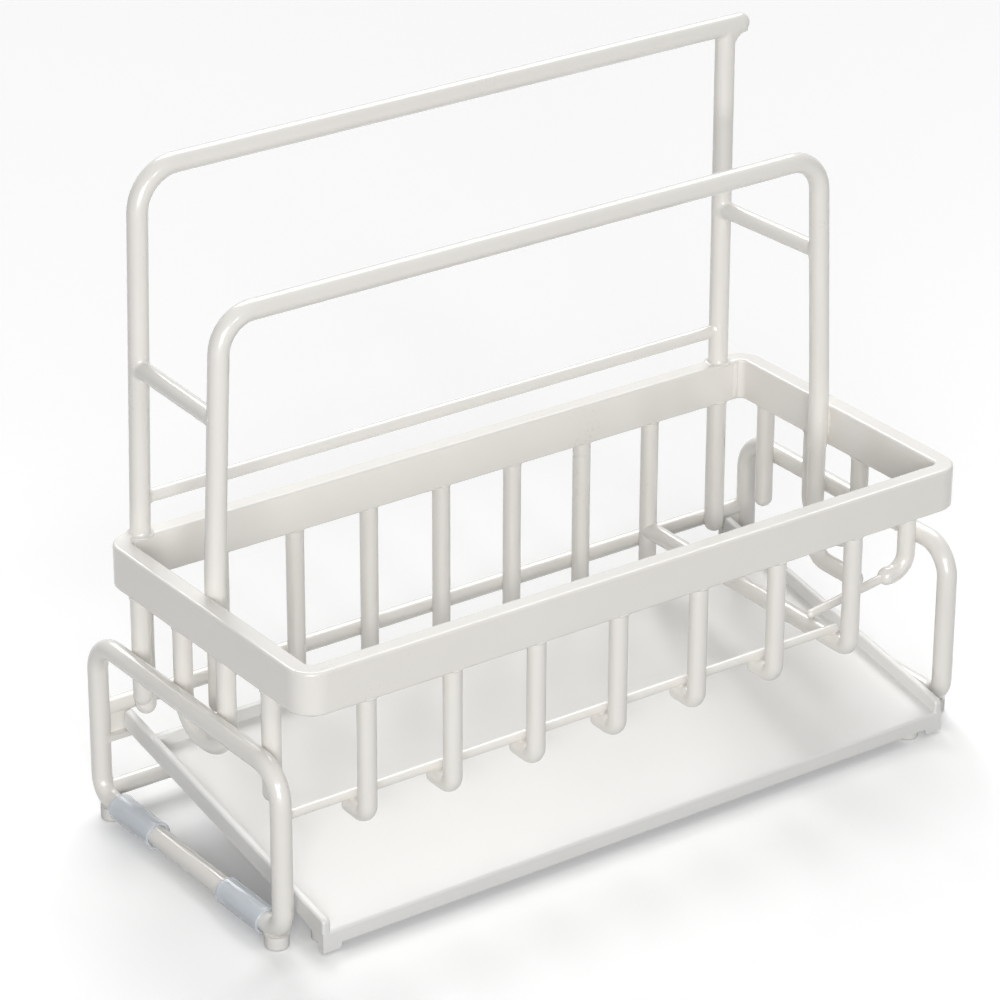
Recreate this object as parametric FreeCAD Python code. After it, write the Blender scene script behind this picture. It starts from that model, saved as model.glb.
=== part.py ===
import FreeCAD, Part
import math
import os
from FreeCAD import Vector

# Kitchen sink caddy: a welded steel-wire basket with two towel hoops on a pair of
# stand loops, over a sloping drip tray that pulls out to the front.
# Millimetres, +Z up, X along the basket, -Y to the front, the counter at Z = 0.

# Flat band round the top of the basket
BAND_LENGTH = 210.0
BAND_DEPTH = 93.5
BAND_HEIGHT = 12.0
BAND_THICKNESS = 5.2
BAND_CORNER_RADIUS = 7.0
BAND_EDGE_RADIUS = 0.8
BAND_TOP = 79.0

# Wire diameters
BASKET_WIRE = 5.0
HOOP_WIRE = 5.5
STAND_WIRE = 5.5
BRACE_WIRE = 4.7
CROSSBAR_WIRE = 3.6
TIE_WIRE = 2.5
RAIL_WIRE = 4.6
BASE_BAR_WIRE = 4.8

# How far one wire melts into the next at a weld, and the gap between loose pieces
WELD_SINK = 0.2
LOOSE_GAP = 0.3

# Rear hoop: its legs lean in, bent at the left, its bar running out over the right leg
REAR_LEG_INSET = 10.8
REAR_LEG_SHIFT = -1.0
REAR_HOOP_LEAN = 1.6
REAR_HOOP_RISE = 99.0
REAR_HOOP_BEND = 11.5
REAR_BAR_OVERHANG = 4.8

# Front hoop: legs down the inner faces of the band's ends, leaning in above it
FRONT_HOOP_RISE = 73.7
FRONT_HOOP_BEND = 10.0
FRONT_HOOP_SHIFT = 4.8
FRONT_HOOP_LEAN = 3.1
FRONT_LEG_STRAIGHT = 4.0
FRONT_LEG_BEND = 40.0

# Side braces and the thin bar between the rear legs, above the band
BRACE_RISE = 46.2
CROSSBAR_RISE = 9.7

# Basket wires, below the band: the front ones turn back under a thin tie wire
WIRE_COUNT = 7
FRONT_WIRE_INSET = 17.5
FRONT_WIRE_DROP = 33.4
FRONT_WIRE_BEND = 2.9
FRONT_WIRE_OVERRUN = 1.0
REAR_WIRE_DROP = 45.5
REAR_POST_DROP = 40.5
TIE_WIRE_INSET = 6.2

# End wires: four in a row, the middle two joined at the bottom as a loop; the right front one is a hook
END_WIRE_FRONT_INSET = 16.1
END_WIRE_REAR_INSET = 10.7
END_WIRE_DROP = 31.0
END_HOOK_BEND = 5.5
END_HOOK_RUN = 6.5
END_HOOK_RISE = 2.4
END_LOOP_DROP = 27.7
END_LOOP_FLAT = 2.5

# Tails of the front hoop below the band: the left one short, the right one a hook
TAIL_DROP = 22.0
TAIL_BEND = 6.0
TAIL_RUN = 18.0

# Stand loops at both ends
LOOP_FRONT_INSET = 4.55
LOOP_REAR_INSET = 1.35
LOOP_DROP = 16.5
LOOP_BOTTOM = 4.9
LOOP_TOP_BEND = 9.0
LOOP_BOTTOM_BEND = 6.0

# Clear sleeves and feet on the stand loops
SLEEVE_OUTER = 7.6
SLEEVE_LENGTH = 19.0
FRONT_SLEEVE_GAP = 1.0
REAR_SLEEVE_GAP = 3.0
RIGHT_SLEEVE_SPACING = 0.8
FOOT_DIAMETER = 6.4
FOOT_HEIGHT = 3.8
FRONT_FOOT_INSET = 3.0
REAR_FOOT_INSET = 5.0
FOOT_EDGE = 0.7

# Drip tray: its slope follows from its front height and its drop below the rear rail
TRAY_SIDE_GAP = 3.9
TRAY_BACK_GAP = 6.7
TRAY_FLOOR = 1.8
TRAY_WALL = 2.3
TRAY_WALL_HEIGHT = 3.4
TRAY_RIM_RADIUS = 0.7
TRAY_FRONT_REACH = 47.6
TRAY_FRONT_HEIGHT = 6.4
TRAY_REAR_DROP = 4.15
TRAY_LIP_HEIGHT = 4.0
TRAY_SKIRT_HEIGHT = 5.6
TRAY_SKIRT_LENGTH = 13.0
TRAY_CORNER_WIDTH = 5.5
TRAY_CORNER_RADIUS = 1.2
TRAY_LIP_RADIUS = 0.8
TRAY_WALL_NOSE = 1.2
TRAY_PAD_DIAMETER = 6.0
TRAY_LEFT_PAD_INSET_X = 4.8
TRAY_LEFT_PAD_INSET_Y = 7.5
TRAY_RIGHT_PAD_INSET_X = 9.0
TRAY_RIGHT_PAD_INSET_Y = 3.6
PAD_EDGE = 0.6

# Hooks at the rear legs that carry the tray's arms
HOOK_PLATE = 1.5
HOOK_LEDGE = 2.2
HOOK_SETBACK = 1.9

# Places worked out from the sizes above
band_bottom = BAND_TOP - BAND_HEIGHT
end_x = BAND_LENGTH / 2 - BAND_THICKNESS / 2
basket_radius = BASKET_WIRE / 2
stub_z = band_bottom - FRONT_WIRE_DROP
rail_z = stub_z - basket_radius - RAIL_WIRE / 2 + WELD_SINK
rear_from_centre = BAND_DEPTH / 2 - BAND_THICKNESS / 2
rail_from_centre = rear_from_centre + basket_radius + RAIL_WIRE / 2 - WELD_SINK
rear_reach = rail_from_centre + RAIL_WIRE / 2
arm_run = TRAY_FRONT_REACH + rail_from_centre - HOOK_SETBACK - LOOSE_GAP
tilt = math.atan2(rail_z - TRAY_REAR_DROP - TRAY_FRONT_HEIGHT, arm_run)
front_reach = max(BAND_DEPTH / 2, TRAY_FRONT_REACH)
band_y = (front_reach - rear_reach) / 2

front_y = band_y - rear_from_centre
rear_y = band_y + rear_from_centre
rail_y = band_y + rail_from_centre
hoop_y = band_y + FRONT_HOOP_SHIFT
rear_leg_x = BAND_LENGTH / 2 - REAR_LEG_INSET
rear_top_x = rear_leg_x - REAR_HOOP_LEAN
rear_feet_x = {-1: REAR_LEG_SHIFT - rear_leg_x, 1: REAR_LEG_SHIFT + rear_leg_x}
rear_hoop_z = BAND_TOP + REAR_HOOP_RISE
front_leg_x = BAND_LENGTH / 2 - BAND_THICKNESS - HOOP_WIRE / 2 + WELD_SINK
front_top_x = front_leg_x - FRONT_HOOP_LEAN
front_hoop_z = BAND_TOP + FRONT_HOOP_RISE

tie_y = front_y + TIE_WIRE_INSET
tie_z = stub_z + basket_radius + TIE_WIRE / 2 - WELD_SINK
end_loop_z = band_bottom - END_LOOP_DROP

loop_x = end_x + basket_radius + STAND_WIRE / 2 - WELD_SINK
loop_top = band_bottom - LOOP_DROP
loop_front_y = front_y + LOOP_FRONT_INSET
loop_rear_y = rail_y - LOOP_REAR_INSET

tray_half = loop_x - STAND_WIRE / 2 - TRAY_SIDE_GAP
tray_front_y = band_y - TRAY_FRONT_REACH
tray_length = (rear_y - basket_radius - TRAY_BACK_GAP - tray_front_y) / math.cos(tilt)
plate_y = rail_y - HOOK_SETBACK
arm_end = (arm_run - TRAY_FLOOR * math.sin(tilt)) / math.cos(tilt)


def spread(first, last, count):
    """Evenly spaced places from the first to the last."""
    return [first + (last - first) * i / (count - 1) for i in range(count)]


def unit(a, b):
    step = b - a
    return step.multiply(1 / step.Length)


def bent_path(points, bend, closed=False):
    """Straight runs through the points, joined at each corner by a tangent arc."""
    count = len(points)
    corners = range(count) if closed else range(1, count - 1)
    trims = {}
    arcs = {}
    for i in corners:
        before, here, after = points[i - 1], points[i], points[(i + 1) % count]
        u, v = unit(here, before), unit(here, after)
        half = u.getAngle(v) / 2
        radius = bend[i] if isinstance(bend, (list, tuple)) else bend
        cut = radius / math.tan(half)
        start, end = here + u * cut, here + v * cut
        middle = here + unit(Vector(), u + v) * (radius / math.sin(half) - radius)
        trims[i] = (start, end)
        arcs[i] = Part.Arc(start, middle, end).toShape()
    edges = []
    for i in range(count if closed else count - 1):
        j = (i + 1) % count
        leave = trims[i][1] if i in trims else points[i]
        reach = trims[j][0] if j in trims else points[j]
        edges.append(Part.LineSegment(leave, reach).toShape())
        if j in arcs:
            edges.append(arcs[j])
    return edges


def wire_rod(points, diameter, bend=0.0, domes=(False, False), closed=False):
    """Round wire along a bent path, with a half-ball on each end that has a dome."""
    edges = bent_path(points, bend, closed)
    start = edges[0].Vertexes[0].Point
    ring = Part.Wire([Part.makeCircle(diameter / 2, start, unit(points[0], points[1]))])
    rod = Part.Wire(edges).makePipeShell([ring], True, False)
    ends = ((points[0], points[1]), (points[-1], points[-2]))
    for (tip, inner), dome in zip(ends, domes):
        if dome:
            rod = rod.fuse(Part.makeSphere(diameter / 2, tip, unit(inner, tip), 0, 90, 360))
    return rod


def cope(shape, *others):
    """Cut away what the neighbours fill, so that the pieces meet face to face."""
    return max(shape.cut(list(others)).Solids, key=lambda solid: solid.Volume)


def block(x0, x1, y0, y1, z0, z1):
    return Part.makeBox(x1 - x0, y1 - y0, z1 - z0, Vector(x0, y0, z0))


def round_block(length, depth, height, radius, z0):
    """Upright block with rounded corners, centred on the band."""
    body = block(-length / 2, length / 2, band_y - depth / 2, band_y + depth / 2, z0, z0 + height)
    upright = [e for e in body.Edges if abs(e.tangentAt(e.FirstParameter).z) > 0.9]
    return body.makeFillet(radius, upright)


def band():
    inner_radius = BAND_CORNER_RADIUS - BAND_THICKNESS
    outer = round_block(BAND_LENGTH, BAND_DEPTH, BAND_HEIGHT, BAND_CORNER_RADIUS, band_bottom)
    inner = round_block(BAND_LENGTH - 2 * BAND_THICKNESS, BAND_DEPTH - 2 * BAND_THICKNESS,
                        BAND_HEIGHT, inner_radius, band_bottom)
    ring = outer.cut(inner)
    rims = [e for e in ring.Edges if abs(e.tangentAt(e.FirstParameter).z) < 0.1]
    return ring.makeFillet(BAND_EDGE_RADIUS, rims).Solids[0]


def foot(y):
    """Moulded foot under a lower bend of the stand loop, before it is coped to the wire."""
    pin = Part.makeCylinder(FOOT_DIAMETER / 2, FOOT_HEIGHT, Vector(0, y, 0))
    lower = [e for e in pin.Edges if e.BoundBox.ZMax < FOOT_EDGE]
    return pin.makeFillet(FOOT_EDGE, lower)


def upright(z):
    """Place along the tray's floor that is straight above or below its front edge once the tray slopes."""
    return z * math.tan(tilt)


def front_plate(x0, x1, height):
    """Plate down from the tray's front edge, upright once the tray slopes."""
    foot_y = upright(-height)
    outline = [Vector(x0, 0, 0), Vector(x0, foot_y, -height), Vector(x0, foot_y + TRAY_FLOOR, -height),
               Vector(x0, TRAY_FLOOR, 0), Vector(x0, 0, 0)]
    return Part.Face(Part.makePolygon(outline)).extrude(Vector(x1 - x0, 0, 0))


def tray():
    """Sloping tray with low walls, rear arms, an upright front lip and corner skirts."""
    half = tray_half
    floor = block(-half, half, 0, tray_length, -TRAY_FLOOR, 0)
    lip = front_plate(-half, half, TRAY_LIP_HEIGHT)
    corner_plates = []
    for outer, inner in ((-half, TRAY_CORNER_WIDTH - half), (half, half - TRAY_CORNER_WIDTH)):
        plate = front_plate(min(outer, inner), max(outer, inner), TRAY_SKIRT_HEIGHT)
        lower = [e for e in plate.Edges if abs(e.BoundBox.ZMax + TRAY_SKIRT_HEIGHT) < 1e-6
                 and abs(e.BoundBox.XMin - inner) < 1e-6 and abs(e.BoundBox.XMax - inner) < 1e-6]
        corner_plates.append(plate.makeFillet(TRAY_CORNER_RADIUS, lower))
    base = floor.fuse([lip] + corner_plates).removeSplitter()
    front_edge = [e for e in base.Edges if e.BoundBox.YMax < 1e-6
                  and abs(e.BoundBox.ZMin) < 1e-6 and abs(e.BoundBox.ZMax) < 1e-6]
    base = base.makeFillet(min(TRAY_LIP_RADIUS, 0.8 * TRAY_FLOOR), front_edge)
    rear_wall = block(-half, half, tray_length - TRAY_WALL, tray_length, -TRAY_FLOOR, TRAY_WALL_HEIGHT)
    rear_rim = [e for e in rear_wall.Edges if abs(e.BoundBox.ZMin - TRAY_WALL_HEIGHT) < 1e-6
                and e.Length > TRAY_WALL + 1]
    rear_wall = rear_wall.makeFillet(TRAY_RIM_RADIUS, rear_rim)
    turn = math.sqrt(0.5)
    skirt_bow = Vector(0, TRAY_SKIRT_LENGTH * (1 - turn), -TRAY_FLOOR
                       - (TRAY_SKIRT_HEIGHT - TRAY_FLOOR) * (1 - turn))
    half_angle = math.pi / 4 + tilt / 2
    nose_reach = TRAY_WALL_NOSE / math.tan(half_angle)
    nose_tip = Vector(0, upright(TRAY_WALL_HEIGHT), TRAY_WALL_HEIGHT)
    back = Vector(0, 1, 0)
    down = Vector(0, -math.sin(tilt), -math.cos(tilt))
    nose_bow = nose_tip + unit(Vector(), back + down) * (TRAY_WALL_NOSE * (1 / math.sin(half_angle) - 1))
    corner = [Vector(0, upright(-TRAY_SKIRT_HEIGHT), -TRAY_SKIRT_HEIGHT),
              Vector(0, TRAY_SKIRT_LENGTH, -TRAY_FLOOR),
              Vector(0, arm_end, -TRAY_FLOOR), Vector(0, arm_end, TRAY_WALL_HEIGHT),
              nose_tip + back * nose_reach, nose_tip + down * nose_reach]
    outline = Part.Wire([Part.Arc(corner[0], skirt_bow, corner[1]).toShape(),
                         Part.LineSegment(corner[1], corner[2]).toShape(),
                         Part.LineSegment(corner[2], corner[3]).toShape(),
                         Part.LineSegment(corner[3], corner[4]).toShape(),
                         Part.Arc(corner[4], nose_bow, corner[5]).toShape(),
                         Part.LineSegment(corner[5], corner[0]).toShape()])
    wall = Part.Face(outline).extrude(Vector(TRAY_WALL, 0, 0))
    rim = [e for e in wall.Edges if e.BoundBox.XLength < 1e-6 and e.BoundBox.ZMax > 0
           and e.BoundBox.YMin < arm_end - 1]
    wall = wall.makeFillet(TRAY_RIM_RADIUS, rim)
    left_wall = wall.translated(Vector(-half, 0, 0))
    right_wall = wall.translated(Vector(half - TRAY_WALL, 0, 0))
    body = base.fuse([rear_wall, left_wall, right_wall]).removeSplitter()
    body.rotate(Vector(), Vector(1, 0, 0), math.degrees(tilt))
    body.translate(Vector(0, tray_front_y, TRAY_FRONT_HEIGHT))
    return body.Solids[0]


def tray_under(y):
    """Height of the tray's underside at a place along its slope."""
    return TRAY_FRONT_HEIGHT + (y - tray_front_y) * math.tan(tilt) - TRAY_FLOOR / math.cos(tilt)


def hook(side, rail, loop):
    """Bracket below the rail, welded to a rear leg, with a ledge under the tray's arm."""
    ledge_y = plate_y - HOOK_LEDGE
    ledge_z = tray_under(ledge_y) - LOOSE_GAP
    low, high = sorted((side * (tray_half - TRAY_WALL), side * loop_x))
    plate = block(low, high, plate_y, plate_y + HOOK_PLATE, ledge_z - HOOK_PLATE, rail_z)
    ledge = block(low, high, ledge_y, plate_y + HOOK_PLATE, ledge_z - HOOK_PLATE, ledge_z)
    return cope(plate.fuse(ledge).removeSplitter(), rail, loop)


parts = {}
parts["rim_band"] = band()
under_band = band_bottom + BAND_EDGE_RADIUS
over_band = BAND_TOP - BAND_EDGE_RADIUS

# Rear hoop and its right leg
left_foot, right_foot = (Vector(rear_feet_x[side], rear_y, over_band) for side in (-1, 1))
left_top, right_top = (Vector(side * rear_top_x, rear_y, rear_hoop_z) for side in (-1, 1))
bar_end = right_top + Vector(REAR_BAR_OVERHANG, 0, 0)
rear_hoop = wire_rod([left_foot, left_top, bar_end], HOOP_WIRE, REAR_HOOP_BEND, (False, True))
parts["rear_hoop"] = cope(rear_hoop, parts["rim_band"])
parts["rear_hoop_right_leg"] = cope(wire_rod([right_foot, right_top], HOOP_WIRE),
                                    parts["rim_band"], parts["rear_hoop"])

# Front hoop
lean_z = BAND_TOP + FRONT_LEG_STRAIGHT
left_side = [Vector(-front_leg_x, hoop_y, band_bottom), Vector(-front_leg_x, hoop_y, lean_z),
             Vector(-front_top_x, hoop_y, front_hoop_z)]
right_side = [Vector(-p.x, p.y, p.z) for p in reversed(left_side)]
hoop_bends = [0, FRONT_LEG_BEND, FRONT_HOOP_BEND, FRONT_HOOP_BEND, FRONT_LEG_BEND, 0]
parts["front_hoop"] = cope(wire_rod(left_side + right_side, HOOP_WIRE, hoop_bends), parts["rim_band"])

# Braces between the hoops, and the thin bar between the rear legs
for side, name, rear_leg in ((-1, "left", "rear_hoop"), (1, "right", "rear_hoop_right_leg")):
    up_rear = BRACE_RISE / REAR_HOOP_RISE
    up_front = (BRACE_RISE - FRONT_LEG_STRAIGHT) / (FRONT_HOOP_RISE - FRONT_LEG_STRAIGHT)
    brace_rear_x = rear_feet_x[side] + up_rear * (side * rear_top_x - rear_feet_x[side])
    brace_front_x = side * (front_leg_x - up_front * FRONT_HOOP_LEAN)
    brace = wire_rod([Vector(brace_rear_x, rear_y, BAND_TOP + BRACE_RISE),
                      Vector(brace_front_x, hoop_y, BAND_TOP + BRACE_RISE)], BRACE_WIRE)
    parts["hoop_brace_" + name] = cope(brace, parts[rear_leg], parts["front_hoop"])
crossbar = wire_rod([Vector(rear_feet_x[side], rear_y, BAND_TOP + CROSSBAR_RISE) for side in (-1, 1)],
                    CROSSBAR_WIRE)
parts["rear_crossbar"] = cope(crossbar, parts["rear_hoop"], parts["rear_hoop_right_leg"])

# Rear wires, evenly between two posts under the rear legs: straight down in front of the rail
rear_wires = []
rear_x = spread(rear_feet_x[-1], rear_feet_x[1], WIRE_COUNT + 2)
rear_rods = [("rear_post_left", rear_x[0], HOOP_WIRE, REAR_POST_DROP),
             ("rear_post_right", rear_x[-1], HOOP_WIRE, REAR_POST_DROP)]
rear_rods += [(f"rear_wire_{number}", rear_x[number], BASKET_WIRE, REAR_WIRE_DROP)
              for number in range(1, WIRE_COUNT + 1)]
for name, x, diameter, drop in rear_rods:
    tip = band_bottom - drop + diameter / 2
    rod = wire_rod([Vector(x, rear_y, under_band), Vector(x, rear_y, tip)], diameter, 0.0, (False, True))
    parts[name] = cope(rod, parts["rim_band"])
    rear_wires.append(parts[name])

# Front wires: down from the band and back under the tie wire; the last one runs on to a rear wire
front_wires = []
front_wire_x = spread(FRONT_WIRE_INSET - end_x, rear_x[WIRE_COUNT], WIRE_COUNT)
for number, x in enumerate(front_wire_x, 1):
    last = number == WIRE_COUNT
    stub_end = rear_y if last else tie_y + FRONT_WIRE_OVERRUN
    rod = wire_rod([Vector(x, front_y, under_band), Vector(x, front_y, stub_z), Vector(x, stub_end, stub_z)],
                   BASKET_WIRE, FRONT_WIRE_BEND, (False, not last))
    front_wires.append(cope(rod, parts["rim_band"], parts[f"rear_wire_{number}"]))
    parts[f"front_wire_{number}"] = front_wires[-1]

# End wires and end loops at both ends
end_wire_y = spread(front_y + END_WIRE_FRONT_INSET, rear_y - END_WIRE_REAR_INSET, 4)
end_loop_bend = (end_wire_y[2] - end_wire_y[1] - END_LOOP_FLAT) / 2
for side, name in ((-1, "left"), (1, "right")):
    x = side * end_x
    for place, y in (("front", end_wire_y[0]), ("rear", end_wire_y[3])):
        tip = band_bottom - END_WIRE_DROP + basket_radius
        points = [Vector(x, y, under_band), Vector(x, y, tip)]
        if (place, side) == ("front", 1):
            hook_z = tip + END_HOOK_RISE
            points = [points[0], Vector(x, y, hook_z), Vector(x - END_HOOK_RUN, y, hook_z)]
        rod = wire_rod(points, BASKET_WIRE, END_HOOK_BEND, (False, True))
        parts[f"end_wire_{place}_{name}"] = cope(rod, parts["rim_band"])
    loop = wire_rod([Vector(x, end_wire_y[1], under_band), Vector(x, end_wire_y[1], end_loop_z),
                     Vector(x, end_wire_y[2], end_loop_z), Vector(x, end_wire_y[2], under_band)],
                    BASKET_WIRE, end_loop_bend)
    parts["end_loop_" + name] = cope(loop, parts["rim_band"])

# Tails of the front hoop, below the band
tail_tip = band_bottom - TAIL_DROP + basket_radius
left_tail = [Vector(-front_leg_x, hoop_y, band_bottom), Vector(-front_leg_x, hoop_y, tail_tip)]
right_tail = [Vector(front_leg_x, hoop_y, band_bottom), Vector(front_leg_x, hoop_y, stub_z),
              Vector(front_leg_x, hoop_y - TAIL_RUN, stub_z)]
for name, path in (("left", left_tail), ("right", right_tail)):
    tail = wire_rod(path, BASKET_WIRE, TAIL_BEND, (False, True))
    parts["hoop_tail_" + name] = cope(tail, parts["rim_band"])

# Stand loops, welded outside the end wires
loops = []
for side, name in ((-1, "left"), (1, "right")):
    x = side * loop_x
    corners = [Vector(x, loop_front_y, loop_top), Vector(x, loop_rear_y, loop_top),
               Vector(x, loop_rear_y, LOOP_BOTTOM), Vector(x, loop_front_y, LOOP_BOTTOM)]
    bends = [LOOP_TOP_BEND, LOOP_TOP_BEND, LOOP_BOTTOM_BEND, LOOP_BOTTOM_BEND]
    ends = [parts[f"end_wire_front_{name}"], parts[f"end_wire_rear_{name}"], parts[f"end_loop_{name}"]]
    loops.append(cope(wire_rod(corners, STAND_WIRE, bends, closed=True), *ends))
    parts["stand_loop_" + name] = loops[-1]

# Between the stand loops: a thin tie wire over the front wires, a rail behind the rear ones, a bar below
tie_path = [Vector(-loop_x, tie_y, tie_z), Vector(front_wire_x[-1], tie_y, tie_z)]
tie = wire_rod(tie_path, TIE_WIRE, 0.0, (False, True))
parts["front_tie_wire"] = cope(tie, *loops, *front_wires)
side_tie_path = [Vector(end_x - END_HOOK_RUN, end_wire_y[0], hook_z),
                 Vector(front_wire_x[-1], end_wire_y[0], tie_z)]
side_tie = wire_rod(side_tie_path, TIE_WIRE, 0.0, (False, True))
parts["side_tie_wire"] = cope(side_tie, parts["end_wire_front_right"], *front_wires)
rail = wire_rod([Vector(-loop_x, rail_y, rail_z), Vector(loop_x, rail_y, rail_z)], RAIL_WIRE)
parts["rear_rail"] = cope(rail, *loops, *rear_wires)
bend_middle = LOOP_BOTTOM_BEND * (1 - math.sqrt(0.5))
base_y = loop_rear_y - bend_middle
base_z = LOOP_BOTTOM + bend_middle
base_bar = wire_rod([Vector(-loop_x, base_y, base_z), Vector(loop_x, base_y, base_z)], BASE_BAR_WIRE)
parts["rear_base_bar"] = cope(base_bar, *loops)

# Clear sleeves and moulded feet on the lower bars of the stand loops
for side, name, loop in ((-1, "left", loops[0]), (1, "right", loops[1])):
    front_start = loop_front_y + LOOP_BOTTOM_BEND + FRONT_SLEEVE_GAP
    rear_start = loop_rear_y - LOOP_BOTTOM_BEND - REAR_SLEEVE_GAP - SLEEVE_LENGTH
    if side > 0:
        front_start = rear_start - SLEEVE_LENGTH - RIGHT_SLEEVE_SPACING
    for place, start in (("front", front_start), ("rear", rear_start)):
        tube = Part.makeCylinder(SLEEVE_OUTER / 2, SLEEVE_LENGTH, Vector(side * loop_x, start, LOOP_BOTTOM),
                                 Vector(0, 1, 0))
        parts[f"sleeve_{place}_{name}"] = cope(tube, loop)
    for place, y in (("front", loop_front_y + FRONT_FOOT_INSET), ("rear", loop_rear_y - REAR_FOOT_INSET)):
        pin = foot(y).translated(Vector(side * loop_x, 0, 0))
        parts[f"foot_{place}_{name}"] = cope(pin, loop, parts["rear_base_bar"])

# Drip tray, its front pads and the hooks that carry its arms
parts["drip_tray"] = tray()
pads = []
pad_insets = ((-1, TRAY_LEFT_PAD_INSET_X, TRAY_LEFT_PAD_INSET_Y),
              (1, TRAY_RIGHT_PAD_INSET_X, TRAY_RIGHT_PAD_INSET_Y))
for side, inset_x, inset_y in pad_insets:
    pad_x = side * (tray_half - inset_x)
    pad_y = tray_front_y + inset_y
    pad_top = tray_under(pad_y) + TRAY_FLOOR / 2
    pad = Part.makeCylinder(TRAY_PAD_DIAMETER / 2, pad_top, Vector(pad_x, pad_y, 0))
    lower = [e for e in pad.Edges if e.BoundBox.ZMax < PAD_EDGE]
    pads.append(cope(pad.makeFillet(PAD_EDGE, lower), parts["drip_tray"]))
parts["tray_pads"] = Part.makeCompound(pads)
for side, name, loop in ((-1, "left", loops[0]), (1, "right", loops[1])):
    parts["tray_hook_" + name] = hook(side, parts["rear_rail"], loop)

os.makedirs("parts", exist_ok=True)
for name, shape in parts.items():
    shape.exportStep(f"parts/{name}.step")
print(len(parts), "nodes written")
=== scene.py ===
import math
import bpy
import numpy as np
from mathutils import Matrix, Vector


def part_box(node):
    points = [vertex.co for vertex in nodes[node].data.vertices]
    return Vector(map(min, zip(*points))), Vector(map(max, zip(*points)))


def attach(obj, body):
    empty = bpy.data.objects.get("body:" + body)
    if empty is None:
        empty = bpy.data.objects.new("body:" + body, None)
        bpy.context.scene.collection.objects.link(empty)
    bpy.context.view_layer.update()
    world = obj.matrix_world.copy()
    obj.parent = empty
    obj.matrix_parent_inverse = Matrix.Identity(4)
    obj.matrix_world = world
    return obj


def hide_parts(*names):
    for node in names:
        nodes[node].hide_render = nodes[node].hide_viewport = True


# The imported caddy: every wire, the drip tray and the feet as solids, in metres,
# standing on the counter at z = 0 with its front towards -Y.
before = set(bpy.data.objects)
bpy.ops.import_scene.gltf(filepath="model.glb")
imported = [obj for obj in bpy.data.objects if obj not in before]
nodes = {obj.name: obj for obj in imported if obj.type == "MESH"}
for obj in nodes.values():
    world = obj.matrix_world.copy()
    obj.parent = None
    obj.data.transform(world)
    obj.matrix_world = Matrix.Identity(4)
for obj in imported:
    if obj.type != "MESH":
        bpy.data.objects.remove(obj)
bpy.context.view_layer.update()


# Rim band: flat steel strip bent into a rectangle and butt-welded at its rear right corner.
# Band and wire are powder coated together, warm white, after all the welding is done,
# so one coat runs over every bead with the slight ripple of fused powder.
class Shade:
    """A socket of a material's nodes; arithmetic on it adds the Math nodes."""

    def __init__(self, tree, socket):
        self.tree = tree
        self.socket = socket

    def node(self, kind, settings, values, out=0):
        """Adds any node: its settings first, then its sockets' values or links."""
        made = self.tree.nodes.new(kind)
        for key, value in settings.items():
            setattr(made, key, value)
        for key, value in values.items():
            if isinstance(value, Shade):
                self.tree.links.new(value.socket, made.inputs[key])
            else:
                made.inputs[key].default_value = value
        return Shade(self.tree, made.outputs[out])

    def into(self, shader, name):
        self.tree.links.new(self.socket, shader.inputs[name])

    def calc(self, operation, first, second):
        return self.node("ShaderNodeMath", {"operation": operation}, {0: first, 1: second})

    def __add__(self, other):
        return self.calc("ADD", self, other)

    def __radd__(self, other):
        return self.calc("ADD", other, self)

    def __mul__(self, other):
        return self.calc("MULTIPLY", self, other)

    def __rmul__(self, other):
        return self.calc("MULTIPLY", other, self)

    def noise(self, scale, detail):
        return self.node("ShaderNodeTexNoise", {}, {"Vector": self, "Scale": scale, "Detail": detail})

    def stretch(self, x, y, z):
        return self.node("ShaderNodeMapping", {}, {"Vector": self, "Scale": (x, y, z)})

    def blend(self, first, second):
        """Colour between two, by this value."""
        return self.node("ShaderNodeMix", {"data_type": "RGBA"}, {0: self, 6: first, 7: second}, 2)

    def bump(self, strength, distance):
        values = {"Strength": strength, "Distance": distance, "Height": self}
        return self.node("ShaderNodeBump", {}, values)


def new_finish(name):
    """An empty material, its shader, and the place on the piece to build its pattern from."""
    material = bpy.data.materials.new(name)
    material.use_nodes = True
    tree = material.node_tree
    place = Shade(tree, tree.nodes.new("ShaderNodeTexCoord").outputs["Object"])
    return material, tree.nodes["Principled BSDF"], place


def dress(material, *starts):
    """Gives the material to every node whose name starts with one of the words."""
    for name, node in nodes.items():
        if name.startswith(starts):
            for slot in node.material_slots:
                slot.material = material


CREAM_SHADE = (0.80, 0.775, 0.73, 1)
CREAM_WHITE = (0.85, 0.83, 0.79, 1)
powder_coat, coat, place = new_finish("powder_coat")
clouds = place.noise(34.0, 3.0)
ripple = place.noise(950.0, 2.0)
grain = place.noise(5200.0, 1.0)
clouds.blend(CREAM_SHADE, CREAM_WHITE).into(coat, "Base Color")
(0.22 + 0.10 * clouds + 0.06 * ripple).into(coat, "Roughness")
(ripple + 0.25 * grain).bump(0.07, 0.00025).into(coat, "Normal")
coat.inputs["Coat Weight"].default_value = 0.8
coat.inputs["Coat Roughness"].default_value = 0.10
dress(powder_coat, "rim_band")
BAND_THICKNESS = 0.0052
band_low, band_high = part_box("rim_band")


# Rear hoop: round steel wire bent once at the left, its bar running out over a separate right leg.
# Both legs stand on the band in a small ring of weld that the coat has rounded off.
HOOP_RADIUS = 0.00275
RING_SIZE = 0.0009
RING_ROWS = 40
SUNK = 0.0004
HOST_SHARE = 0.985
BAR_OVERHANG = 0.0048
BARE_END = 0.0016
UP = (0, 0, 1)
DOWN = (0, 0, -1)
ALONG_X = (1, 0, 0)
ALONG_Y = (0, 1, 0)


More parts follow.
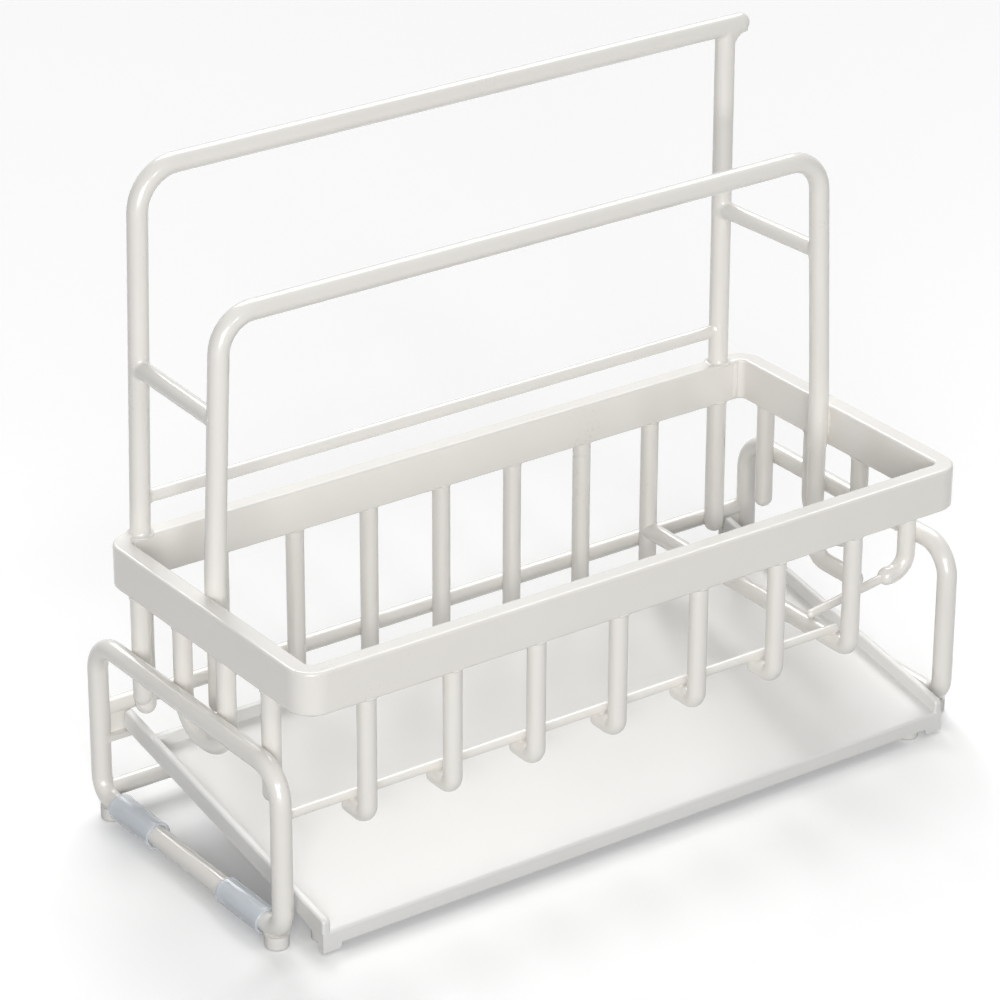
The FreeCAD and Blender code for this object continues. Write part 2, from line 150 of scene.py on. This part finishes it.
def grid_faces(rows, columns):
    """Quads of a grid that closes on itself both ways, as a ring's surface does."""
    row, column = np.meshgrid(np.arange(rows), np.arange(columns), indexing="ij")
    below = (row + 1) % rows * columns
    beside = (column + 1) % columns
    row = row * columns
    quads = [row + column, below + column, below + beside, row + beside]
    return np.stack(quads, axis=-1).reshape(-1, 4)


def closed_piece(name, shells, material, body):
    """One object from closed shells of (points, quads); a shell of negative volume is turned round."""
    points, quads, start = [], [], 0
    for shell_points, shell_quads in shells:
        a, b, c, d = (shell_points[shell_quads[:, i]] for i in range(4))
        volume = np.einsum("ij,ij->", a, np.cross(b, c)) + np.einsum("ij,ij->", a, np.cross(c, d))
        points.append(shell_points)
        quads.append((shell_quads if volume > 0 else shell_quads[:, ::-1]) + start)
        start += len(shell_points)
    mesh = bpy.data.meshes.new(name)
    mesh.from_pydata(np.concatenate(points).tolist(), [], np.concatenate(quads).tolist())
    mesh.polygons.foreach_set("use_smooth", np.ones(len(mesh.polygons), dtype=bool))
    mesh.materials.append(material)
    piece = bpy.data.objects.new(name, mesh)
    bpy.context.collection.objects.link(piece)
    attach(piece, body)
    return piece


def weld_ring(point, along, across, wire, host=None, size=RING_SIZE, turn=0.0, lean=0.0):
    """Ring of weld where a wire leaves a flat, or leaves a host wire of some radius.
    Angle a goes round the wire; the cross-section is a hollow quarter circle from wire + size
    on the host to size up the wire, closed inside the metal. On a host wire it stands
    sqrt(host^2 - (r cos a)^2) off its axis, and r stays inside host / cos a.
    Its size ripples in 3 and 7 waves round the wire, which turn shifts.
    A lean makes the ring larger where sin a is near 1, as max(sin a, 0)^2."""
    along, across = np.array(along, float), np.array(across, float)
    over = np.cross(along, across)
    a = np.linspace(0, 2 * np.pi, RING_ROWS, endpoint=False)[:, None]
    swell = size * (1 + 0.16 * np.sin(3 * a + turn) + 0.09 * np.sin(7 * a + 2 * turn))
    swell = swell + lean * np.maximum(np.sin(a), 0) ** 2
    t = np.linspace(0, np.pi / 2, 7)[None, :]
    radius = wire + swell * (1 - np.sin(t))
    height = swell * (1 - np.cos(t))
    inside = np.full_like(a, wire - SUNK)
    radius = np.concatenate([radius, inside, inside, radius[:, :1]], axis=1)
    below = np.full_like(a, -SUNK)
    height = np.concatenate([height, height[:, -1:], below, below], axis=1)
    if host:
        radius = np.minimum(radius, HOST_SHARE * host / np.maximum(np.abs(np.cos(a)), 0.01))
        height = height + np.sqrt(host ** 2 - (radius * np.cos(a)) ** 2)
    ring = np.array(point) + height[..., None] * along
    ring = ring + radius[..., None] * (np.cos(a)[..., None] * across + np.sin(a)[..., None] * over)
    return ring.reshape(-1, 3), grid_faces(*radius.shape)


dress(powder_coat, "rear_hoop")
left_low, left_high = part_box("rear_hoop")
right_low, right_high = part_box("rear_hoop_right_leg")
rear_y = (right_low.y + right_high.y) / 2
left_leg_x = left_low.x + HOOP_RADIUS
right_leg_x = right_high.x - HOOP_RADIUS
right_top_x = right_low.x + HOOP_RADIUS
hoop_top = left_high.z - HOOP_RADIUS
rear_rings = [weld_ring((left_leg_x, rear_y, band_high.z), UP, ALONG_X, HOOP_RADIUS, turn=0.4),
              weld_ring((right_leg_x, rear_y, band_high.z), UP, ALONG_X, HOOP_RADIUS, turn=1.7),
              weld_ring((right_top_x, rear_y, hoop_top), DOWN, ALONG_Y, HOOP_RADIUS, HOOP_RADIUS,
                        lean=BAR_OVERHANG - BARE_END)]
closed_piece("rear_hoop_welds", rear_rings, powder_coat, "stand")


# Front hoop: one round wire bent down at both sides, its legs welded to the inside of the band's ends.
# Thinner tails carry on below the band; the right one turns forward as a hook.
RUN_ROWS = 25
RUN_TIP = 0.00005
LEG_BEAD = 0.0011
LEG_BEAD_FOOT = 0.0012
LEG_BEAD_HEAD = 0.0006


def bead_faces(rows, columns):
    """Quads of a tube of an even number of columns; each end is closed by quads across it."""
    row, column = np.meshgrid(np.arange(rows - 1), np.arange(columns), indexing="ij")
    below = (row + 1) * columns
    beside = (column + 1) % columns
    row = row * columns
    quads = [row + column, below + column, below + beside, row + beside]
    near = np.arange(columns // 2 - 1)
    cap = np.stack([near, near + 1, columns - 2 - near, columns - 1 - near], axis=-1)
    far_cap = cap[:, ::-1] + (rows - 1) * columns
    return np.concatenate([np.stack(quads, axis=-1).reshape(-1, 4), cap, far_cap])


def weld_run(start, end, side, wall, size):
    """Bead along the corner between two surfaces: a hollow quarter circle, closed inside.
    The profile is carried from start to end, thinning to a tip at both ends as sqrt(sin(pi s)),
    with about five slow waves along it."""
    s = np.linspace(0, 1, RUN_ROWS)[:, None]
    taper = np.maximum(np.sin(np.pi * s), 0.0) ** 0.5 * (1 + 0.12 * np.sin(31 * s)) * size + RUN_TIP
    t = np.linspace(0, np.pi / 2, 6)[None, :]
    out_side = np.concatenate([1 - np.sin(t), [[-0.6, -0.6]]], axis=1)
    out_wall = np.concatenate([1 - np.cos(t), [[1.0, -0.35]]], axis=1)
    bead = np.array(start) + s[..., None] * (np.array(end) - np.array(start))
    bead = bead + (taper * out_side)[..., None] * np.array(side)
    bead = bead + (taper * out_wall)[..., None] * np.array(wall)
    return bead.reshape(-1, 3), bead_faces(RUN_ROWS, out_side.shape[1])


dress(powder_coat, "front_hoop", "hoop_tail")
hoop_low, hoop_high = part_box("front_hoop")
hoop_y = (hoop_low.y + hoop_high.y) / 2
inner_x = band_high.x - BAND_THICKNESS
front_runs = []
for side in (-1, 1):
    for way in (-1, 1):
        foot = (side * inner_x, hoop_y + way * LEG_BEAD, band_low.z + LEG_BEAD_FOOT)
        head = (side * inner_x, hoop_y + way * LEG_BEAD, band_high.z - LEG_BEAD_HEAD)
        front_runs.append(weld_run(foot, head, (0, way, 0), (-side, 0, 0), LEG_BEAD))
closed_piece("front_hoop_welds", front_runs, powder_coat, "stand")


# Band seam: the butt weld that closes the strip, ground low on the inside beside the rear right corner
# and left as a thin upright bead under the coat.
SEAM_ROWS = 31
SEAM_TIP = 0.00002
SEAM_SUNK = 0.0003
SEAM_FROM_CORNER = 0.0022
SEAM_FROM_EDGE = 0.0009
SEAM_WIDTH = 0.0014
SEAM_HEIGHT = 0.00035


def seam_bead(start, end, side, out):
    """Half ellipse of the seam's width and height, carried from start to end and closed inside the strip.
    It rises from both ends as sin(pi s)^0.3, with a slow ripple along it."""
    s = np.linspace(0, 1, SEAM_ROWS)[:, None]
    rise = SEAM_HEIGHT * np.maximum(np.sin(np.pi * s), 0.0) ** 0.3 * (1 + 0.10 * np.sin(41 * s)) + SEAM_TIP
    t = np.linspace(0, np.pi, 8)[None, :]
    out_side = np.concatenate([np.cos(t), [[-1.0, 1.0]]], axis=1) * SEAM_WIDTH / 2 + 0 * s
    out_wall = np.concatenate([np.sin(t) * rise, np.full((SEAM_ROWS, 2), -SEAM_SUNK)], axis=1)
    bead = np.array(start) + s[..., None] * (np.array(end) - np.array(start))
    bead = bead + out_side[..., None] * np.array(side)
    bead = bead + out_wall[..., None] * np.array(out)
    return bead.reshape(-1, 3), bead_faces(SEAM_ROWS, out_side.shape[1])


seam_x = inner_x - SEAM_FROM_CORNER
seam_y = band_high.y - BAND_THICKNESS
seam_foot = (seam_x, seam_y, band_low.z + SEAM_FROM_EDGE)
seam_head = (seam_x, seam_y, band_high.z - SEAM_FROM_EDGE)
seam = seam_bead(seam_foot, seam_head, ALONG_X, (0, -1, 0))
closed_piece("band_seam", [seam], powder_coat, "stand")


# Side braces between the two hoops and the thin bar between the rear legs: straight cut wire,
# each end butted on a leg and welded all round.
BRACE_RADIUS = 0.00235
CROSSBAR_RADIUS = 0.0018
BRACE_RING = 0.0008
LEFT_LEG_LEAN = 0.0001
dress(powder_coat, "hoop_brace", "rear_crossbar")
brace_rings = []
for side, name in ((-1, "left"), (1, "right")):
    low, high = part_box("hoop_brace_" + name)
    brace_z = (low.z + high.z) / 2
    up_rear = (brace_z - band_high.z) / (hoop_top - band_high.z)
    foot_x = left_leg_x if side < 0 else right_leg_x
    rear_at = Vector((foot_x + up_rear * (side * right_top_x - foot_x), rear_y, brace_z))
    front_at = Vector((low.x + high.x - rear_at.x, hoop_y, brace_z))
    along = (front_at - rear_at).normalized()
    across = along.cross(Vector(UP))
    brace_rings.append(weld_ring(rear_at, along, across, BRACE_RADIUS, HOOP_RADIUS, BRACE_RING, 0.6))
    brace_rings.append(weld_ring(front_at, -along, across, BRACE_RADIUS, HOOP_RADIUS, BRACE_RING, 2.1))
low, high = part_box("rear_crossbar")
bar_z = (low.z + high.z) / 2
for x, way in ((left_leg_x + LEFT_LEG_LEAN, 1), (right_leg_x, -1)):
    bar_end = (x, rear_y, bar_z)
    ring = weld_ring(bar_end, (way, 0, 0), ALONG_Y, CROSSBAR_RADIUS, HOOP_RADIUS, BRACE_RING, 1.2)
    brace_rings.append(ring)
closed_piece("brace_welds", brace_rings, powder_coat, "stand")


# Basket wires: cut lengths of round wire hung from the underside of the band, each in a ring of weld.
# The front ones turn back at the bottom under a thin tie wire; the end ones pair up in loops.
POST_RADIUS = 0.0025
HANG_RING = 0.00028
TIE_BEAD = 0.0009
TIE_BEAD_HALF = 0.0015
TIE_BEAD_ASIDE = 0.0004
TIE_BEAD_SUNK = 0.0001
dress(powder_coat, "rear_wire", "rear_post", "front_wire", "front_tie", "side_tie", "end_wire", "end_loop")
hang_rings = []
for number, name in enumerate(sorted(nodes)):
    low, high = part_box(name)
    wire = min(high.x - low.x, high.y - low.y) / 2
    spots = []
    if name.startswith(("rear_wire", "rear_post", "front_wire", "end_wire", "end_loop")):
        spots.append((high.x - wire, low.y + wire))
    if name.startswith("end_loop"):
        spots.append((high.x - wire, high.y - wire))
    for x, y in spots:
        ring = weld_ring((x, y, band_low.z), DOWN, ALONG_X, wire, size=HANG_RING, turn=number)
        hang_rings.append(ring)
tie_low, tie_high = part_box("front_tie_wire")
for name in sorted(name for name in nodes if name.startswith("front_wire")):
    low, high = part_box(name)
    middle = (low.x + high.x) / 2
    bead_z = low.z + 2 * POST_RADIUS - TIE_BEAD_SUNK
    for way in (-1, 1):
        bead_y = (tie_low.y + tie_high.y) / 2 + way * TIE_BEAD_ASIDE
        start = (middle - TIE_BEAD_HALF, bead_y, bead_z)
        end = (middle + TIE_BEAD_HALF, bead_y, bead_z)
        hang_rings.append(weld_run(start, end, (0, way, 0), UP, TIE_BEAD))
closed_piece("basket_welds", hang_rings, powder_coat, "stand")


# Stand loops: closed loops of the thicker wire under both ends, welded outside the end wires.
# A rail and a base bar join them at the rear, with bent hooks at the rail for the tray's arms.
dress(powder_coat, "stand_loop", "rear_rail", "rear_base_bar", "tray_hook")


# Clear sleeves: short lengths of soft clear tube pushed over the lower bars of the stand loops,
# so that the wire does not mark the sink; faintly blue, cloudy along the draw of the tube.
SLEEVE_INNER = 0.00287
SLEEVE_SWELL = 0.0001
SLEEVE_ROWS = 64
CLEAR_SHADE = (0.775, 0.845, 0.94, 1)
CLEAR_BLUE = (0.845, 0.90, 0.97, 1)


def sleeve(low, high):
    """Tube along Y: a profile with rounded ends, carried round the bar.
    The outside swells a little towards the middle, by sin(pi s)."""
    middle_x, middle_z = (low.x + high.x) / 2, (low.z + high.z) / 2
    outer = (high.x - low.x) / 2
    edge = (outer - SLEEVE_INNER) / 2
    middle = SLEEVE_INNER + edge
    t = np.linspace(0, np.pi, 9)
    s = np.linspace(0, 1, 12)[1:-1]
    front = np.stack([low.y + edge - edge * np.sin(t), middle - edge * np.cos(t)], axis=1)
    outside = np.stack([low.y + edge + (high.y - low.y - 2 * edge) * s,
                        outer - SLEEVE_SWELL * (1 - np.sin(np.pi * s))], axis=1)
    back = np.stack([high.y - edge + edge * np.sin(t), middle + edge * np.cos(t)], axis=1)
    along, radius = np.concatenate([front, outside, back]).T
    a = np.linspace(0, 2 * np.pi, SLEEVE_ROWS, endpoint=False)[:, None]
    tube = np.stack([middle_x + radius * np.cos(a), along + 0 * a, middle_z + radius * np.sin(a)], axis=-1)
    return tube.reshape(-1, 3), grid_faces(SLEEVE_ROWS, len(along))


clear_sleeve, clear, place = new_finish("clear_sleeve")
draw = place.stretch(1.0, 0.06, 1.0).noise(700.0, 2.0)
cloud = place.noise(160.0, 2.0)
cloud.blend(CLEAR_SHADE, CLEAR_BLUE).into(clear, "Base Color")
(0.12 + 0.04 * draw).into(clear, "Roughness")
(0.42 + 0.05 * draw).into(clear, "Alpha")
clear.inputs["Coat Weight"].default_value = 1.0
clear.inputs["Coat Roughness"].default_value = 0.08
for name in [name for name in nodes if name.startswith("sleeve")]:
    tube = sleeve(*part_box(name))
    piece = closed_piece("clear_" + name, [tube], clear_sleeve, "stand")
    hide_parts(name)


# Feet and tray pads: small moulded pegs in matt off-white soft plastic, pressed on the loops' lower bends
# and under the tray's front edge, with a fine spark-eroded texture.
PEG_SHADE = (0.74, 0.725, 0.695, 1)
PEG_WHITE = (0.82, 0.805, 0.775, 1)
foot_plastic, peg, place = new_finish("foot_plastic")
mottle = place.noise(220.0, 2.0)
texture = place.noise(4200.0, 2.0)
mottle.blend(PEG_SHADE, PEG_WHITE).into(peg, "Base Color")
(0.48 + 0.14 * texture).into(peg, "Roughness")
texture.bump(0.25, 0.00015).into(peg, "Normal")
dress(foot_plastic, "foot_", "tray_pads")


# Drip tray: one moulding in satin white plastic, a sloping floor with low walls and an upright front lip.
# It is fixed to nothing: its arms lie on the hooks at the rear and its pads on the counter.
TRAY_SHADE = (0.775, 0.765, 0.745, 1)
TRAY_WHITE = (0.82, 0.815, 0.80, 1)
tray_plastic, tray, place = new_finish("tray_plastic")
flow = place.stretch(1.0, 0.35, 1.0).noise(26.0, 3.0)
skin = place.noise(2600.0, 2.0)
flow.blend(TRAY_SHADE, TRAY_WHITE).into(tray, "Base Color")
(0.26 + 0.12 * flow + 0.05 * skin).into(tray, "Roughness")
skin.bump(0.06, 0.0001).into(tray, "Normal")
dress(tray_plastic, "drip_tray")


# Counter: a plain matt white sheet. The camera and the reflections see it go to white,
# with the soft shadow under the tray; the light that it throws back up is a good deal less.
REACH = 9
COUNTER_THROWN = (0.20, 0.20, 0.20, 1)
COUNTER_SEEN = (0.95, 0.95, 0.95, 1)
COUNTER_GLOW = 0.16
counter = bpy.data.meshes.new("counter")
corners = [(-REACH, -REACH, 0), (REACH, -REACH, 0), (REACH, REACH, 0), (-REACH, REACH, 0)]
counter.from_pydata(corners, [], [(0, 1, 2, 3)])
counter_white = bpy.data.materials.new("counter_white")
counter_white.use_nodes = True
tree = counter_white.node_tree
tree.nodes.remove(tree.nodes["Principled BSDF"])


def seen_rays(tree):
    """1 where the camera, a reflection or a clear piece looks, 0 for the light that falls on things."""
    path = tree.nodes.new("ShaderNodeLightPath")
    kinds = ("Is Camera Ray", "Is Glossy Ray", "Is Transmission Ray")
    by_camera, by_gloss, by_clear = (Shade(tree, path.outputs[kind]) for kind in kinds)
    return by_camera + by_gloss + by_clear


seen = seen_rays(tree)
matt = tree.nodes.new("ShaderNodeBsdfDiffuse")
seen.blend(COUNTER_THROWN, COUNTER_SEEN).into(matt, "Color")
glow = tree.nodes.new("ShaderNodeEmission")
(COUNTER_GLOW * seen).into(glow, "Strength")
both = tree.nodes.new("ShaderNodeAddShader")
tree.links.new(matt.outputs[0], both.inputs[0])
tree.links.new(glow.outputs[0], both.inputs[1])
tree.links.new(both.outputs[0], tree.nodes["Material Output"].inputs["Surface"])
counter.materials.append(counter_white)
floor = bpy.data.objects.new("counter", counter)
bpy.context.collection.objects.link(floor)


# Studio: an even white room, two broad lamps high up behind, a large soft panel low down
# beside the camera, and a small lamp over it for the glints on the bends.
ROOM_THROWN = 0.27
ROOM_SEEN = 1.0
AIM_HEIGHT = 0.07
world = bpy.data.worlds.new("white_room")
bpy.context.scene.world = world
world.use_nodes = True
tree = world.node_tree
room = tree.nodes["Background"]
(ROOM_THROWN + (ROOM_SEEN - ROOM_THROWN) * seen_rays(tree)).into(room, "Strength")
room.inputs["Color"].default_value = (1, 1, 1, 1)


def towards(turn, rise):
    """Unit vector to a lamp or camera that stands at a turn from the front and a rise above the counter."""
    turn, rise = math.radians(turn), math.radians(rise)
    out = math.cos(rise)
    return Vector((math.sin(turn) * out, -math.cos(turn) * out, math.sin(rise)))


def hang_lamp(lamp, way, distance):
    """Puts the lamp at a distance that way from the middle of the basket, facing it."""
    holder = bpy.data.objects.new(lamp.name, lamp)
    holder.location = Vector((0, 0, AIM_HEIGHT)) + distance * way
    holder.rotation_euler = way.to_track_quat("Z", "Y").to_euler()
    bpy.context.collection.objects.link(holder)


key_lamp = bpy.data.lights.new("key_lamp", "SUN")
key_lamp.angle = 0.66
key_lamp.energy = 1.42
hang_lamp(key_lamp, towards(138, 51), 1.5)
back_lamp = bpy.data.lights.new("back_lamp", "SUN")
back_lamp.angle = 0.38
back_lamp.energy = 0.6
hang_lamp(back_lamp, towards(163, 40), 1.5)
front_panel = bpy.data.lights.new("front_panel", "AREA")
front_panel.size = 0.8
front_panel.energy = 18.0
hang_lamp(front_panel, towards(-35, 14), 1.7)
small_lamp = bpy.data.lights.new("small_lamp", "AREA")
small_lamp.size = 0.2
small_lamp.energy = 2.0
hang_lamp(small_lamp, towards(-8, 30), 1.5)


# Camera: where the photograph was taken from, a long lens to the front left and above,
# rolled a little and aimed a little to the left of the band's middle.
CAMERA_TURN = -36.28
CAMERA_RISE = 25.79
CAMERA_ROLL = math.radians(0.51)
CAMERA_DISTANCE = 1.15859
FOCAL = 4.44177
SENSOR = 36
AIM_LEFT = 0.04107
AIM_ABOVE = 0.0011
back = towards(CAMERA_TURN, CAMERA_RISE)
level = Vector((math.cos(math.radians(CAMERA_TURN)), math.sin(math.radians(CAMERA_TURN)), 0))
upright = back.cross(level)
right = math.cos(CAMERA_ROLL) * level + math.sin(CAMERA_ROLL) * upright
up = -math.sin(CAMERA_ROLL) * level + math.cos(CAMERA_ROLL) * upright
band_middle = Vector((0, (band_low.y + band_high.y) / 2, band_high.z))
stand_at = band_middle + CAMERA_DISTANCE * back
back = (back + right * AIM_LEFT / FOCAL - up * AIM_ABOVE / FOCAL).normalized()
right = (right - back * right.dot(back)).normalized()
up = back.cross(right)
lens = bpy.data.cameras.new("camera")
lens.sensor_width = SENSOR
lens.lens = SENSOR * FOCAL
camera = bpy.data.objects.new("camera", lens)
camera.matrix_world = Matrix(((right.x, up.x, back.x, stand_at.x), (right.y, up.y, back.y, stand_at.y),
                              (right.z, up.z, back.z, stand_at.z), (0, 0, 0, 1)))
bpy.context.collection.objects.link(camera)
bpy.context.scene.camera = camera
bpy.context.scene.view_settings.view_transform = "Standard"
